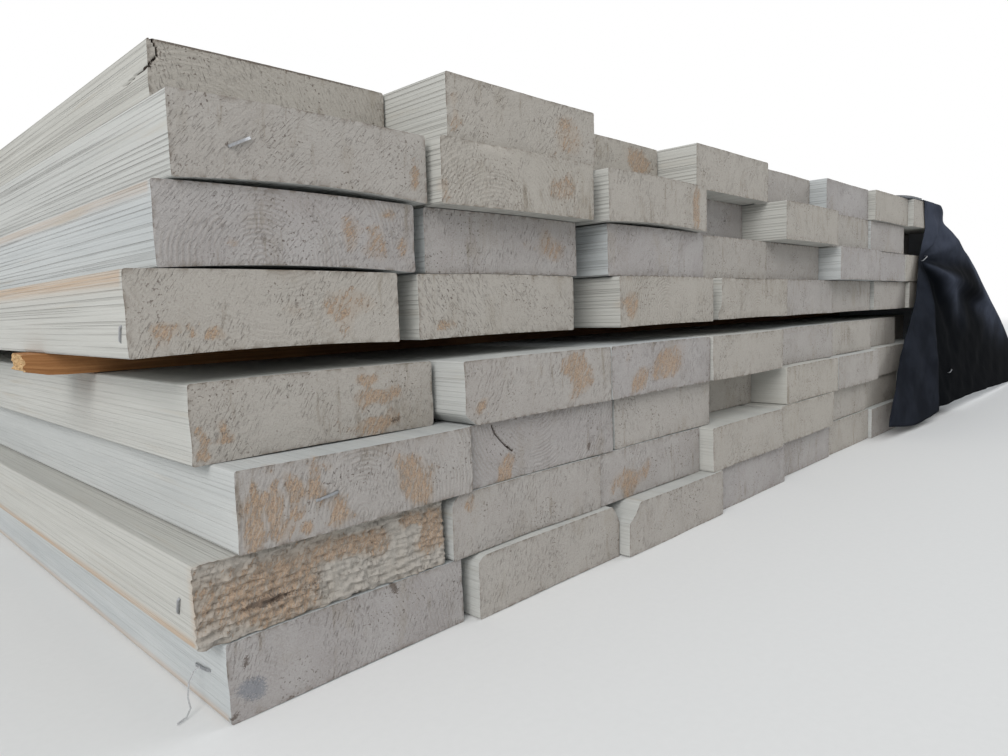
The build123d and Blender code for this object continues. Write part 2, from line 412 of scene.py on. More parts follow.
def brush_field(u, v, w, seed, random):
    """Coordinates along and across the strokes in which an end was primed."""
    angle = np.radians(random.uniform(*STROKE_ANGLES) * random.choice(STROKE_SIDES))
    along = u * np.cos(angle) + v * np.sin(angle)
    across = v * np.cos(angle) - u * np.sin(angle)
    return field(along, across, seed * BRUSH_SHIFT + w * BRUSH_ALONG)


def split_depth(line, half, depth, u, v):
    """How deep a split cuts in at each point."""
    points = np.array(line, float)
    away = np.full(len(u), np.inf)
    for (x0, y0), (x1, y1) in zip(points[:-1], points[1:]):
        run = np.array([x1 - x0, y1 - y0])
        share = np.clip(((u - x0) * run[0] + (v - y0) * run[1]) / (run @ run), 0, 1)
        away = np.minimum(away, np.hypot(u - x0 - share * run[0], v - y0 - share * run[1]))
    return depth * np.clip(SPLIT_END - away / half, 0, 1)


def cut_splits(key, u, v, w, near):
    """The side as split, how deep splits go in at the near end, and how strong the painted shade in them
    is.
    """
    depth = np.zeros(len(u))
    beside = np.zeros(len(u))
    if key in SPLITS:
        depth = split_depth(*SPLITS[key], u, v) * near
    if key == SIDE_SPLIT_BOARD:
        beside = split_depth(SIDE_SPLIT, SIDE_SPLIT_WIDE, 1.0, w, v) * (u < LEFT_FACE)
    split_shade = np.maximum(beside, SPLIT_SHADE * (depth > SPLIT_SHOWS))
    return u + SIDE_SPLIT_DEEP * beside, depth, split_shade


def end_relief(u, v, pith, key, seed):
    """How far each point of a near end stands in from its plane."""
    flat = field(u, v)
    radius = np.hypot(u - pith[0], v - pith[1])
    rings = np.sin(radius * RELIEF_RATE + RELIEF_WANDER * ripple(flat, size=45, seed=seed))
    relief = RING_HEIGHT * rings + WAVE_HEIGHT * ripple(flat, size=70, seed=seed + 1)
    relief += SAW_HEIGHT * ripple(field(u * 0.5, v), size=5, seed=seed + 2)
    if key == TORN_END:
        bands = np.floor((v + LAYER_WANDER * ripple(field(u), size=30, seed=5)) / LAYER_THICK)
        chips = CHIP_DEPTH * ripple(field(u * 0.4, v), size=3.0, seed=7)
        relief += LAYER_DEPTH * np.sin(bands * LAYER_SCATTER) + chips
        relief += FIBRE_DEPTH * ripple(field(u * 0.8, v), size=2.2, seed=8)
    if key in HOLLOWS:
        depth, mid_u, mid_v, half_u, half_v, flatness = HOLLOWS[key]
        relief += depth * np.exp(-(((u - mid_u) / half_u) ** 2 + ((v - mid_v) / half_v) ** flatness))
    return relief


def make_board(course, place, left, setback, cup, materials):
    """One primed board with its cut ends, cup, eased edges, marks and damage."""
    key = (course, place)
    seed = course * 100 + place * 7
    random = np.random.default_rng(seed)
    step = FINE.get(key, STEPS.get(place, COARSE))
    growth = FINE_GROWTH if key in FINE else PLAIN_GROWTH
    u, v, w, quads, parts = bar_grid(BOARD_WIDTH, BOARD_THICK, BOARD_LENGTH, EASED_EDGE, step, growth)
    pith_u, pith_v, rings = pick_pith(key, random)
    near = np.clip(1 - w / END_DEPTH, 0, 1)
    far = np.clip(1 - (BOARD_LENGTH - w) / END_DEPTH, 0, 1)
    bare, dirt_and_split_shade, ink = board_marks(key, u, v, w, near)
    grain = field(u - pith_u, v - pith_v, w + seed * GRAIN_SHIFT)
    brush = brush_field(u, v, w, seed, random)
    arris = np.minimum(np.minimum(u, BOARD_WIDTH - u), np.minimum(v, BOARD_THICK - v))
    edge = np.exp(-np.minimum(arris, ARRIS_FAR) / ARRIS_FADE) * np.maximum(near, far)
    relief = end_relief(u, v, (pith_u, pith_v), key, seed)
    u, split, split_shade = cut_splits(key, u, v, w, near)
    relief_far = FAR_HEIGHT * ripple(field(u, v), size=60, seed=seed + 9)
    u, v = shape_section(key, u, v, w, cup)
    w = w + near * (relief + split) - far * relief_far
    u = u + SIDE_SWAY * ripple(field(w / SWAY_LONG, v), size=18, seed=seed + 4)
    points = field(left + u, setback + w, level(course) + v)
    piece = quad_mesh(f"board_c{course}_b{place}", to_row(points), quads, materials, parts)
    # Dirt and the painted shade in splits share one channel
    marks = field(bare, np.maximum(dirt_and_split_shade, split_shade), ink)
    warm = np.full(len(u), END_TONES.get(key, random.uniform(-1, 1)))
    tone = field(warm, edge, np.full(len(u), rings))
    sawn = np.full((len(u), 3), SAWN[course - 1])
    point_values(piece, grain=grain, brush=brush, marks=marks, tone=tone, sawn=sawn)
    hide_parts(f"course_{course}")
    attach(piece, "root")


def make_boards(materials):
    for course, row in enumerate(COURSES, 1):
        left = 0.0
        for place, (gap, setback, cup) in enumerate(row, 1):
            left += gap
            make_board(course, place, left, setback, cup, materials)
            left += BOARD_WIDTH


def wear_lath(u, v, w, length, seed):
    """Tears a lath's ends, wears its left underside up and lets its faces waver."""
    near = np.clip(1 - w / LATH_TORN, 0, 1)
    far = np.clip(1 - (length - w) / LATH_TORN, 0, 1)
    rough = field(u, v)
    v = v + near * LATH_WORN * (1 - v / LATH_THICK)
    tufts = LATH_TUFT * ripple(rough, LATH_TUFT_SIZE, seed)
    w = w + near * (LATH_SHORT + LATH_SLANT * u / LATH_WIDTH + tufts)
    w = w - far * (LATH_CUT + LATH_TUFT * ripple(rough, LATH_TUFT_SIZE, seed + 1))
    u = u + LATH_SWAY * ripple(field(w / 12, v), size=12, seed=seed + 2)
    v = v + LATH_WAVE * ripple(field(w / 10, u), size=8, seed=seed + 3)
    return u, np.clip(v, LATH_GAP, LATH_THICK - LATH_GAP), w


def make_laths(materials):
    """Rough bare laths between the lots."""
    length = LATH_RIGHT - LATH_LEFT
    base = COURSES_PER_LOT * BOARD_THICK
    for number in range(LATH_COUNT):
        seed = LATH_SEED + number
        u, v, w, quads, parts = bar_grid(LATH_WIDTH, LATH_THICK, length, edge=1.0, step=1.5)
        grain = np.stack([u - LATH_PITH[0], v - LATH_PITH[1], w + seed * LATH_GRAIN], -1)
        u, v, w = wear_lath(u, v, w, length, seed)
        points = field(LATH_LEFT + w, LATH_FIRST + number * LATH_PITCH + u, base + v)
        piece = quad_mesh(f"lath_{number + 1}", to_row(points), quads[:, ::-1], materials, parts)
        # How far in from its ends, for the painted shade under the boards
        inward = np.minimum(w, length - w)
        point_values(piece, grain=grain, inward=field(inward, inward, inward))
        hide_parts("spacers")
        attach(piece, "root")


# Wrap. It lies on the top course along the right edge, hangs over the right side, and its near corner is
# a loose flap: a left panel that laps over the deeper rest, gathered at a staple, with a free edge that
# runs down to the right. Points of the flap from its left edge to its free edge, from the top to its foot.
FLAP = [
    [(1052, -9, 317.6), (1064, -9, 317.6), (1076, -9, 317.6), (1087, -9, 317.6), (1098, -9, 317.6),
     (1109, -9, 317.6), (1120, -9, 317.6), (1131, -9, 317.5), (1141, -9, 317), (1150, -9, 316)],
    [(1053, -13.6, 316), (1065, -13.6, 316), (1077, -14, 316), (1089, -14, 316), (1101, -14, 316),
     (1113, -14, 315.5), (1126, -14, 315), (1139, -14, 314), (1151, -14, 311), (1161, -13, 307)],
    [(1056, -13.6, 298), (1069, -14, 298), (1082, -15, 298), (1094, -16, 298), (1106, -15, 297),
     (1119, -14.5, 296), (1132, -15, 295), (1145, -16, 294), (1157, -16, 293), (1167, -13, 292)],
    [(1060, -13.4, 276), (1073, -14, 276), (1086, -17, 276), (1099, -18, 276), (1113, -16, 276),
     (1128, -17, 277), (1144, -20, 277), (1160, -22, 277), (1176, -23, 276), (1189, -19, 275)],
    [(1059, -10, 254), (1069, -11, 254), (1079, -15, 254), (1090, -16, 254), (1106, -16, 254),
     (1130, -20, 254), (1158, -25, 254), (1186, -28, 254), (1216, -29, 254), (1245, -24, 253)],
    [(1056, -8, 235), (1062, -7.5, 235), (1067, -7.5, 235), (1072, -8, 235), (1080, -10, 235),
     (1105, -17, 235), (1150, -25, 235), (1200, -30, 235), (1250, -32, 234), (1296, -27, 233)],
    [(1034, -12, 205), (1046, -15, 205), (1058, -19, 207), (1049, -9, 206), (1062, -9, 206),
     (1095, -22, 208), (1145, -36, 207), (1235, -39, 196), (1325, -40, 182), (1425, -30, 173)],
    [(1008, -16, 170), (1032, -20, 170), (1055, -28, 170), (1044, -16, 170), (1058, -15, 170),
     (1100, -20, 172), (1160, -26, 182), (1250, -25, 172), (1345, -27, 160), (1478, -31, 150)],
    [(943, -20, 118), (999, -27, 118), (1052, -34, 118), (1040, -22, 118), (1056, -19, 118),
     (1105, -24, 118), (1180, -28, 120), (1290, -30, 121), (1410, -31, 120), (1545, -32, 119)],
    [(888, -26, 60), (972, -31, 60), (1055, -36, 60), (1042, -27, 60), (1058, -24, 60),
     (1115, -28, 60), (1205, -31, 60), (1330, -32, 60), (1480, -33, 59), (1662, -32, 57)],
    [(854, -30, 17), (953, -34, 7), (1055, -38, 14), (1046, -30, 14), (1060, -28, 15),
     (1140, -34, 15), (1250, -34, 15), (1420, -34, 11), (1590, -33, 5), (1737, -30, 1.5)],
]
# Below, a pair says where something starts and where it is full
# Pleats that run out from the staple: direction in degrees, half width in degrees, height
PINCH = (1062, 235)
PLEATS = [(48, 6, 2.0), (30, 6, -2.5), (12, 5, 3.0), (-4, 5, -4.0), (-28, 8, 6.0), (-48, 7, -4.0)]
PLEAT_RISE = (3, 40)
PLEAT_FADE = (60, 260)
# Creases of the flap: depth, size and seed, and where they are deeper and held back
FLAP_CREASES = [(0.7, 60, 31), (0.3, 20, 32)]
CREASED_FROM = (316, 270)
LOOSE_GAIN = 0.5
LOOSE_FROM = (1090, 1200)
EDGE_HOLD = 0.85
EDGE_HELD = (0.75, 1.0)
FLOOR_GAP = 0.8
# How much painted light the black face has, from 0 for black to 1 for its dull sheen: the left panel is
# painted lighter for the light on it, beside the shaded deep part, and the free edge, the shoulder and one
# fold get painted sheen. That fold is given by its direction from the staple and half its width, in
# degrees
PANEL_LIGHT = 0.3
PANEL_EDGE = (1048, 1066)
RIM_ACROSS = (0.78, 1.0)
RIM_UP = (40, 190)
SHOULDER_SHEEN = 0.7
SHOULDER_UP = (205, 262)
SHEEN_FOLD = (-26, 11)
FOLD_SHEEN = 0.65
FOLD_RISE = (0, 25)
FOLD_FADE = (90, 260)
SIDE_LIGHT = 0.27
# The margin's near edge on the top course, across and along, and its inner edge, along and across
MARGIN_NEAR = [(930, 42), (955, 16), (970, 2), (979, -6), (997, -11), (1020, -12.5), (1046, -12.5),
               (1052, -9), (1150, -9)]
MARGIN_INNER = [(-10, 935), (400, 958), (1100, 946), (1900, 978), (2700, 985), (3658, 1008)]
INNER_WANDER = 5
INNER_LIFT = 1.2
INNER_FADE = 26
NEAR_LIFT = 1.2
NEAR_FADE = 12
# The side's section from the top edge to the hem, across and up, and how much of the folds shows there
SIDE = [(1145, 317.4, 0), (1149.6, 315.8, 0), (1153, 300, 0.02), (1159, 275, 0.08), (1169, 240, 0.2),
        (1179.6, 206, 0.35), (1180.5, 160, 0.6), (1181, 80, 0.85), (1181.5, 3, 1)]
# Where the side's near edge meets the back of the flap, up and along
SIDE_NEAR = [(0, -30), (60, -27), (120, -24), (180, -22), (205, -30), (235, -21), (254, -20), (276, -16),
             (292, -10.5), (316, -9), (330, -9)]
# The hem
HEM_UP = 9
HEM_WAVE = 7
HEM_REACH = 90
# Folds of the side: share, size and seed
SIDE_FOLDS = [(0.55, 190, 64), (0.35, 80, 65)]
FOLD_LEAN = 0.18
FOLD_MIDDLE = 0.45
FOLD_MOST = 1.6
FOLD_REACH = 15.0
FOLD_START = 60
FAR_GAP = 3.0
# Grid of the wrap, and its thickness
SPAN_STEPS = 12
SIDE_SPANS = 5
MARGIN_ROWS = 21
SIDE_STEP = 13.0
WRAP_SHEET = 0.6


def through(points, steps):
    """Smooth curves through rows of points, along the first axis."""
    points = np.asarray(points, float)
    padded = np.concatenate([2 * points[:1] - points[1:2], points, 2 * points[-1:] - points[-2:-1]])
    shares = np.linspace(0, 1, steps, endpoint=False)
    pieces = []
    for a, b, c, d in zip(padded[:-3], padded[1:-2], padded[2:-1], padded[3:]):
        for t in shares:
            pieces.append(0.5 * (2 * b + (c - a) * t + (2 * a - 5 * b + 4 * c - d) * t * t
                                 + (3 * b - a - 3 * c + d) * t ** 3))
    pieces.append(points[-1])
    return np.array(pieces)


def sheet_mesh(name, grid, weave, wear, materials):
    """A sheet from a grid of points in rows from top to foot, black where it faces out."""
    rows, columns = grid.shape[:2]
    index = np.arange(rows * columns).reshape(rows, columns)
    quads = np.stack([index[:-1, :-1], index[1:, :-1], index[1:, 1:], index[:-1, 1:]], -1).reshape(-1, 4)
    piece = quad_mesh(name, to_row(grid.reshape(-1, 3)), quads, materials, np.zeros(len(quads)))
    point_values(piece, weave=weave.reshape(-1, 3), wear=np.repeat(wear.reshape(-1, 1), 3, axis=1))
    thicken(piece)
    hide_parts("wrap")
    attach(piece, "root")
    return piece


def thicken(piece):
    """Gives a sheet its two faces and its edge, with the second material behind."""
    shell = piece.modifiers.new("shell", "SOLIDIFY")
    shell.thickness = WRAP_SHEET * METRES
    shell.offset = 0
    shell.material_offset = 1
    shell.material_offset_rim = 0
    finished = bpy.data.meshes.new_from_object(piece.evaluated_get(bpy.context.evaluated_depsgraph_get()))
    piece.modifiers.clear()
    piece.data = finished


def flap_creases(x, z, share):
    """How far small creases push each point of the flap back."""
    flat = field(x.ravel(), z.ravel())
    held = 1 - EDGE_HOLD * ease(*EDGE_HELD, share)
    loose = (1 + LOOSE_GAIN * ease(*LOOSE_FROM, x)) * held
    creases = sum(depth * ripple(flat, size, seed) for depth, size, seed in FLAP_CREASES)
    return ease(*CREASED_FROM, z) * loose * creases.reshape(x.shape)


def flap_wear(x, z, share, distance, direction):
    """How much painted light and sheen the flap's black face has at each point."""
    left_panel = PANEL_LIGHT * (1 - ease(*PANEL_EDGE, x))
    rim = ease(*RIM_ACROSS, share) * ease(*RIM_UP, z)
    shoulder = SHOULDER_SHEEN * ease(*SHOULDER_UP, z)
    turned = FOLD_SHEEN * np.exp(-((direction - SHEEN_FOLD[0]) / SHEEN_FOLD[1]) ** 2)
    fold = turned * ease(*FOLD_RISE, distance) * (1 - ease(*FOLD_FADE, distance))
    return np.maximum(np.maximum(left_panel, rim), np.maximum(shoulder, fold))


def make_flap(materials):
    """The loose flap at the near end."""
    grid = through(FLAP, SPAN_STEPS)
    grid = through(grid.transpose(1, 0, 2), SPAN_STEPS).transpose(1, 0, 2)
    x, z = grid[..., 0], grid[..., 2]
    away_x, away_z = x - PINCH[0], z - PINCH[1]
    distance = np.hypot(away_x, away_z)
    direction = np.degrees(np.arctan2(away_z, away_x))
    share = np.linspace(0, 1, x.shape[1])[None]
    strength = ease(*PLEAT_RISE, distance) * (1 - ease(*PLEAT_FADE, distance))
    for angle, half, height in PLEATS:
        grid[..., 1] -= height * strength * np.exp(-((direction - angle) / half) ** 2)
    grid[..., 1] += flap_creases(x, z, share)
    grid[..., 2] = np.maximum(z, FLOOR_GAP)
    wear = flap_wear(x, z, share, distance, direction)
    return sheet_mesh("wrap_flap", grid, field(x, z, 0 * x), wear, materials)


def margin_points(run):
    """The margin on the top course, from its inner edge to the stack's right edge."""
    along = run.T * BOARD_LENGTH
    shares = np.linspace(0, 1, MARGIN_ROWS + 1)[:-1][:, None]
    inner = np.interp(run * BOARD_LENGTH, *zip(*MARGIN_INNER))
    inner = inner + INNER_WANDER * ripple(along, size=160, seed=61)[None]
    x = inner + (SIDE[0][0] - inner) * shares
    start = np.interp(x, *zip(*MARGIN_NEAR))
    y = start + (BOARD_LENGTH - FAR_GAP - start) * run
    lifted = np.exp(-shares * INNER_FADE) * (INNER_LIFT + ripple(along, size=120, seed=62)[None])
    z = SIDE[0][1] + np.maximum(lifted, 0) + NEAR_LIFT * np.exp(-(y - start) / NEAR_FADE)
    return field(x, y, z)


def hanging_points(run):
    """The side that hangs from the margin in soft folds."""
    section = through(SIDE, SIDE_SPANS)
    z = section[:, 1][:, None] + 0 * run
    hem = HEM_UP + HEM_WAVE * ripple(run.T * BOARD_LENGTH, size=300, seed=63)[None]
    z = z + np.maximum(hem, 0) * ease(HEM_REACH, 0, z)
    start = np.interp(z, *zip(*SIDE_NEAR))
    y = start + (BOARD_LENGTH - FAR_GAP - start) * run
    place = field(y.ravel(), FOLD_LEAN * z.ravel())
    folds = sum(share * ripple(place, size, seed) for share, size, seed in SIDE_FOLDS)
    folds = FOLD_REACH * np.clip(FOLD_MIDDLE + folds.reshape(y.shape), 0, FOLD_MOST)
    near = 1 - ease(0, FOLD_START, y - start)
    x = section[:, 0][:, None] + section[:, 2][:, None] * folds * (1 - near)
    return field(x, y, z)


def make_side(materials):
    """The margin on the top course and the side that hangs from it."""
    columns = int(BOARD_LENGTH / SIDE_STEP)
    run = np.linspace(0, 1, columns + 1)[None]
    grid = np.concatenate([margin_points(run), hanging_points(run)])
    middle = grid[:, columns // 2, ::2]
    across = np.cumsum(np.concatenate([[0], np.hypot(*np.diff(middle, axis=0).T)]))
    along = grid[..., 1]
    weave = np.stack([across[:, None] + 0 * along, along, 0 * along], -1)
    # The whole side has one even share of painted light
    return sheet_mesh("wrap_side", grid, weave, np.full(grid.shape[:2], SIDE_LIGHT), materials)


# Staples across, along and up: two ends of the crown, the way it faces, how far it stands off the wood
STAPLES = [
    ((27, 8, 256), (37.2, 8, 261), (0, -1, 0), 1.0),
    ((50, -10, 93), (62, -10, 95), (0, -1, 0), 0.8),
    ((4, 27, 18), (4, 12, 20), (-1, 0, 0), 0.9),
    ((-8, 10, 58), (-8, 12, 51), (-1, 0, 0), 0.6),
    ((-21, 15, 178), (-21, 17, 171), (-1, 0, 0), 0.5),
    ((1064, -9.5, 232), (1075, -13, 239), (0, -1, 0), 1.2),
    ((1142, -31, 62), (1153, -31.6, 66), (0, -1, 0), 1.0),
]
STAPLE_WIDE = 1.3
STAPLE_HIGH = 0.7
STAPLE_LEG = 3.0
BEND_DOWN = 0.6
BEND_SHARE = 0.08
# The torn strand at the lowest staple
STRAND = [(3.6, 21, 19), (0, 21, 18), (-3, 20, 14), (-4.5, 18.5, 8), (-4, 17.5, 3), (-7, 15, 0.9),
          (-12, 13, 0.7)]
STRAND_FACES = (0, -1, 0.3)
STRAND_WIDE = 0.8
STRAND_THICK = 0.3
# Below this a cross product is too short to turn a strip by
LEAST_TURN = 0.2


def bar_along(name, path, outward, wide, high, material):
    """A flat wire or strip swept along a path, closed at both ends."""
    path = np.array(path, float)
    ahead = np.gradient(path, axis=0)
    ahead /= np.linalg.norm(ahead, axis=1)[:, None]
    side = np.cross(ahead, np.array(outward, float))
    size = np.linalg.norm(side, axis=1)[:, None]
    side = np.where(size > LEAST_TURN, side / np.maximum(size, LEAST_TURN), side[len(side) // 2])
    lift = np.cross(side, ahead)
    corners = [(-1, -1), (1, -1), (1, 1), (-1, 1)]
    rings = np.stack([path + a * wide / 2 * side + b * high / 2 * lift for a, b in corners], 1)
    index = np.arange(4 * len(path)).reshape(-1, 4)
    quads = [index[:1, ::-1], index[-1:]]
    for near, far in zip(index[:-1], index[1:]):
        quads.append(field(near, np.roll(near, -1), np.roll(far, -1), far))
    quads = np.concatenate(quads)
    piece = quad_mesh(name, to_row(rings.reshape(-1, 3)), quads, [material], np.zeros(len(quads)))
    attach(piece, "root")


def make_staples(steel):
    """Wire staples with their legs in the wood."""
    for number, (start, end, outward, stand) in enumerate(STAPLES, 1):
        start, end, away = np.array(start, float), np.array(end, float), np.array(outward, float)
        inward = -STAPLE_LEG * away
        bend = away * (stand - BEND_DOWN)
        inset = BEND_SHARE * (end - start)
        path = [start + inward, start + bend, start + away * stand + inset,
                end + away * stand - inset, end + bend, end + inward]
        facing = np.cross(end - start, away)
        bar_along(f"staple_{number}", path, facing, STAPLE_HIGH, STAPLE_WIDE, steel)


def make_strand(material):
    """The torn strand that hangs from the lowest staple."""
    bar_along("torn_strand", STRAND, STRAND_FACES, STRAND_WIDE, STRAND_THICK, material)


# Materials. The vectors that they read are in millimetres, a noise's scale is bumps a millimetre, and
# colours are given as they look on screen, from 0 to 255.

MIX_FACTOR, MIX_A, MIX_B, MIX_RESULT = 0, 6, 7, 2
# Each face of the wrap: as new, lighter where it has painted light and sheen, and dusty
WRAP_BLACK = ((8, 10, 13), (70, 75, 88), (52, 56, 64))
WRAP_PALE = ((166, 169, 174), (190, 193, 198), (140, 138, 132))
STEEL = (186, 190, 196)
STRAND_WHITE = (226, 228, 230)


def colour(red, green, blue):
    """A colour on screen as the values that a shader takes."""
    linear = []
    for value in (red, green, blue):
        share = value / 255
        linear.append(share / 12.92 if share <= 0.04045 else ((share + 0.055) / 1.055) ** 2.4)
    return (*linear, 1.0)


class Nodes:
    """A node tree with short calls for the nodes used here."""

    def __init__(self, tree):
        self.tree = tree
        self.tree.nodes.clear()

    def put(self, kind, inputs=(), **settings):
        node = self.tree.nodes.new("ShaderNode" + kind)
        for key, value in settings.items():
            setattr(node, key, value)
        for key, value in dict(inputs).items():
            if isinstance(value, bpy.types.NodeSocket):
                self.tree.links.new(value, node.inputs[key])
            else:
                node.inputs[key].default_value = value
        return node

    def read(self, name):
        return self.put("Attribute", attribute_name=name).outputs["Vector"]

    def parts(self, vector):
        return self.put("SeparateXYZ", {0: vector}).outputs

    def scaled(self, vector, scale):
        return self.put("Mapping", {"Vector": vector, "Scale": scale}).outputs[0]

    def noise(self, vector, scale=1.0, detail=3.0, rough=0.55):
        values = {"Vector": vector, "Scale": scale, "Detail": detail, "Roughness": rough}
        return self.put("TexNoise", values).outputs[0]

    def math(self, operation, a, b):
        return self.put("Math", {0: a, 1: b}, operation=operation).outputs[0]

    def times(self, a, b):
        return self.math("MULTIPLY", a, b)

    def plus(self, a, b):
        return self.math("ADD", a, b)

    def span(self, value, low, high, least=0.0, most=1.0):
        """Smooth way from least to most, as a value goes from low to high."""
        values = {0: value, 1: low, 2: high, 3: least, 4: most}
        return self.put("MapRange", values, interpolation_type="SMOOTHSTEP").outputs[0]

    def mix(self, factor, a, b):
        values = {MIX_FACTOR: factor, MIX_A: a, MIX_B: b}
        return self.put("Mix", values, data_type="RGBA").outputs[MIX_RESULT]


class Material(Nodes):
    """A node material around one shader, built up from layers of colour and of relief."""

    def __init__(self, name, **fixed):
        self.material = bpy.data.materials.new(name)
        self.material.use_nodes = True
        super().__init__(self.material.node_tree)
        self.output = self.put("OutputMaterial")
        self.shader = self.put("BsdfPrincipled")
        self.tree.links.new(self.shader.outputs[0], self.output.inputs[0])
        for key, value in fixed.items():
            self.shader.inputs[key.replace("_", " ")].default_value = value
        self.base = None
        self.relief = None

    def ground(self, factor, under, over):
        """The lowest layer, between two colours."""
        self.base = self.mix(factor, colour(*under), colour(*over))

    def tint(self, factor, shade):
        """One more layer of colour, as strong as the factor says."""
        self.base = self.mix(factor, self.base, colour(*shade))

    def lay(self, shade, value, low, high, most=1.0):
        """One more layer of colour, where a value is high."""
        self.tint(self.span(value, low, high, most=most), shade)

    def bump(self, height, distance, strength):
        """One more layer of relief, this many millimetres high."""
        values = {"Height": height, "Distance": distance * METRES, "Strength": strength}
        if self.relief is not None:
            values["Normal"] = self.relief
        self.relief = self.put("Bump", values).outputs[0]

    def finish(self):
        self.tree.links.new(self.base, self.shader.inputs["Base Color"])
        if self.relief is not None:
            self.tree.links.new(self.relief, self.shader.inputs["Normal"])
        return self.material


def ring_lines(m, grain):
    """Growth rings as a field that changes only with the distance from the pith."""
    flat = m.scaled(grain, (1.0, 1.0, 0.004))
    wander = m.noise(flat, 0.02, detail=2.0)
    x, y = m.parts(grain)[:2]
    radius = m.math("SQRT", m.plus(m.times(x, x), m.times(y, y)), 0.0)
    bent = m.plus(radius, m.times(wander, 7.0))
    bent = m.plus(bent, m.times(m.noise(flat, 0.2, detail=2.0), 1.6))
    along = m.put("CombineXYZ", {0: bent}).outputs[0]
    uneven = m.times(m.noise(along, 0.12, detail=2.0), 9.0)
    phase = m.plus(m.times(bent, RING_RATE), uneven)
    return m.span(m.math("SINE", phase, 0.0), -1.0, 1.0)


def saw_lines(m, grain):
    """Thin parallel grooves along a board's long faces, some of them fading out."""
    x, y = m.parts(grain)[:2]
    wander = m.noise(m.scaled(grain, (0.15, 0.15, 0.001)), detail=2.0)
    phase = m.times(m.plus(x, y), SAW_RATE)
    phase = m.plus(phase, m.times(wander, 10.0))
    groove = m.span(m.math("SINE", phase, 0.0), 0.45, 0.95)
    patches = m.noise(m.scaled(grain, (0.35, 0.35, 0.003)), detail=2.0)
    return m.times(groove, m.span(patches, 0.35, 0.62, least=0.1))


def end_primer(m, grain, tone):
    """Uneven primer on an end, with streaks and drips."""
    cloud = m.noise(grain, 0.022, detail=4.0, rough=0.6)
    # The end's primer is painted darker than the same primer on the long faces: painted shade on the ends
    m.ground(m.span(cloud, 0.3, 0.7), (158, 153, 151), (169, 165, 163))
    m.lay((174, 168, 158), tone, -1.0, 1.0, most=0.8)
    streaks = m.noise(m.scaled(grain, (0.04, 0.02, 1.0)), detail=5.0, rough=0.65)
    m.lay((140, 130, 114), streaks, 0.52, 0.74, most=0.38)
    drips = m.noise(m.scaled(grain, (0.13, 0.02, 1.0)), detail=4.0, rough=0.7)
    dripped = m.span(m.noise(grain, 0.02, detail=2.0), 0.46, 0.6)
    m.tint(m.times(m.span(drips, 0.54, 0.7, most=0.5), dripped), (112, 100, 80))


def end_wood(m, fine, speck, fibre):
    """The wood that shows where primer has come off an end."""
    wood = m.mix(m.span(fine, 0.38, 0.6), colour(182, 151, 119), colour(134, 104, 80))
    wood = m.mix(m.span(speck, 0.55, 0.63, most=0.85), wood, colour(72, 56, 46))
    return m.mix(m.span(fibre, 0.5, 0.6, most=0.7), wood, colour(188, 182, 174))


def end_material():
    """Primer brushed over a saw-cut end, with bare wood where it has come off."""
    m = Material("primed_end", Roughness=0.85, Specular_IOR_Level=0.2)
    grain = m.read("grain")
    brush = m.read("brush")
    bare, dirt_and_split_shade, ink = m.parts(m.read("marks"))
    tone, edge, shown = m.parts(m.read("tone"))
    end_primer(m, grain, tone)
    fibre = m.noise(m.scaled(brush, (0.22, 1.3, 1.0)), rough=0.6)
    fibred = m.span(m.noise(grain, 0.035, detail=2.0), 0.4, 0.6, least=0.25)
    strokes = m.times(m.span(fibre, 0.54, 0.7), fibred)
    m.tint(m.times(strokes, 0.4), (112, 102, 94))
    fine = m.noise(grain, 1.1, rough=0.7)
    m.lay((122, 113, 106), fine, 0.5, 0.75, most=0.3)
    # Light flecks on the fine grain are painted glints
    m.lay((186, 183, 178), fine, 0.5, 0.25, most=0.3)
    rings = ring_lines(m, grain)
    shown = m.times(shown, m.span(m.noise(grain, 0.045), 0.4, 0.6, least=0.08))
    lines = m.times(m.span(rings, 0.5, 0.95), shown)
    m.tint(m.times(lines, 0.22), (126, 116, 104))
    speck = m.noise(grain, 0.55)
    patch = m.span(m.noise(grain, 0.04), 0.48, 0.62, least=0.15)
    specks = m.times(m.span(speck, 0.6, 0.66), patch)
    m.tint(m.times(specks, 0.7), (88, 76, 68))
    frayed = m.noise(m.scaled(brush, (0.13, 0.42, 1.0)), detail=5.0, rough=0.75)
    stain = m.span(m.plus(bare, m.span(frayed, 0.3, 0.7, least=-0.8, most=0.4)), 0.36, 0.6)
    m.base = m.mix(m.times(stain, 0.7), m.base, end_wood(m, fine, speck, fibre))
    m.lay((164, 144, 124), bare, 0.05, 0.7, most=0.36)
    uneven = m.span(fine, 0.2, 0.8, least=-0.45, most=0.45)
    # Dirt and the painted shade in the splits, then painted shade deep in the splits alone
    m.lay((84, 72, 64), m.plus(dirt_and_split_shade, uneven), 0.3, 0.8, most=0.75)
    m.lay((40, 33, 29), dirt_and_split_shade, 1.0, 1.3)
    m.lay((78, 94, 112), m.plus(ink, uneven), 0.35, 0.95, most=0.45)
    m.tint(m.times(edge, m.span(m.noise(grain, 0.22), 0.4, 0.64, most=0.75)), (104, 92, 80))
    m.bump(m.times(rings, shown), 0.4, strength=0.6)
    m.bump(m.math("SUBTRACT", 1.0, strokes), 0.5, strength=0.85)
    m.bump(fine, 0.45, strength=0.8)
    m.bump(m.math("SUBTRACT", 1.0, m.math("MAXIMUM", specks, stain)), 0.4, strength=0.7)
    return m.finish()


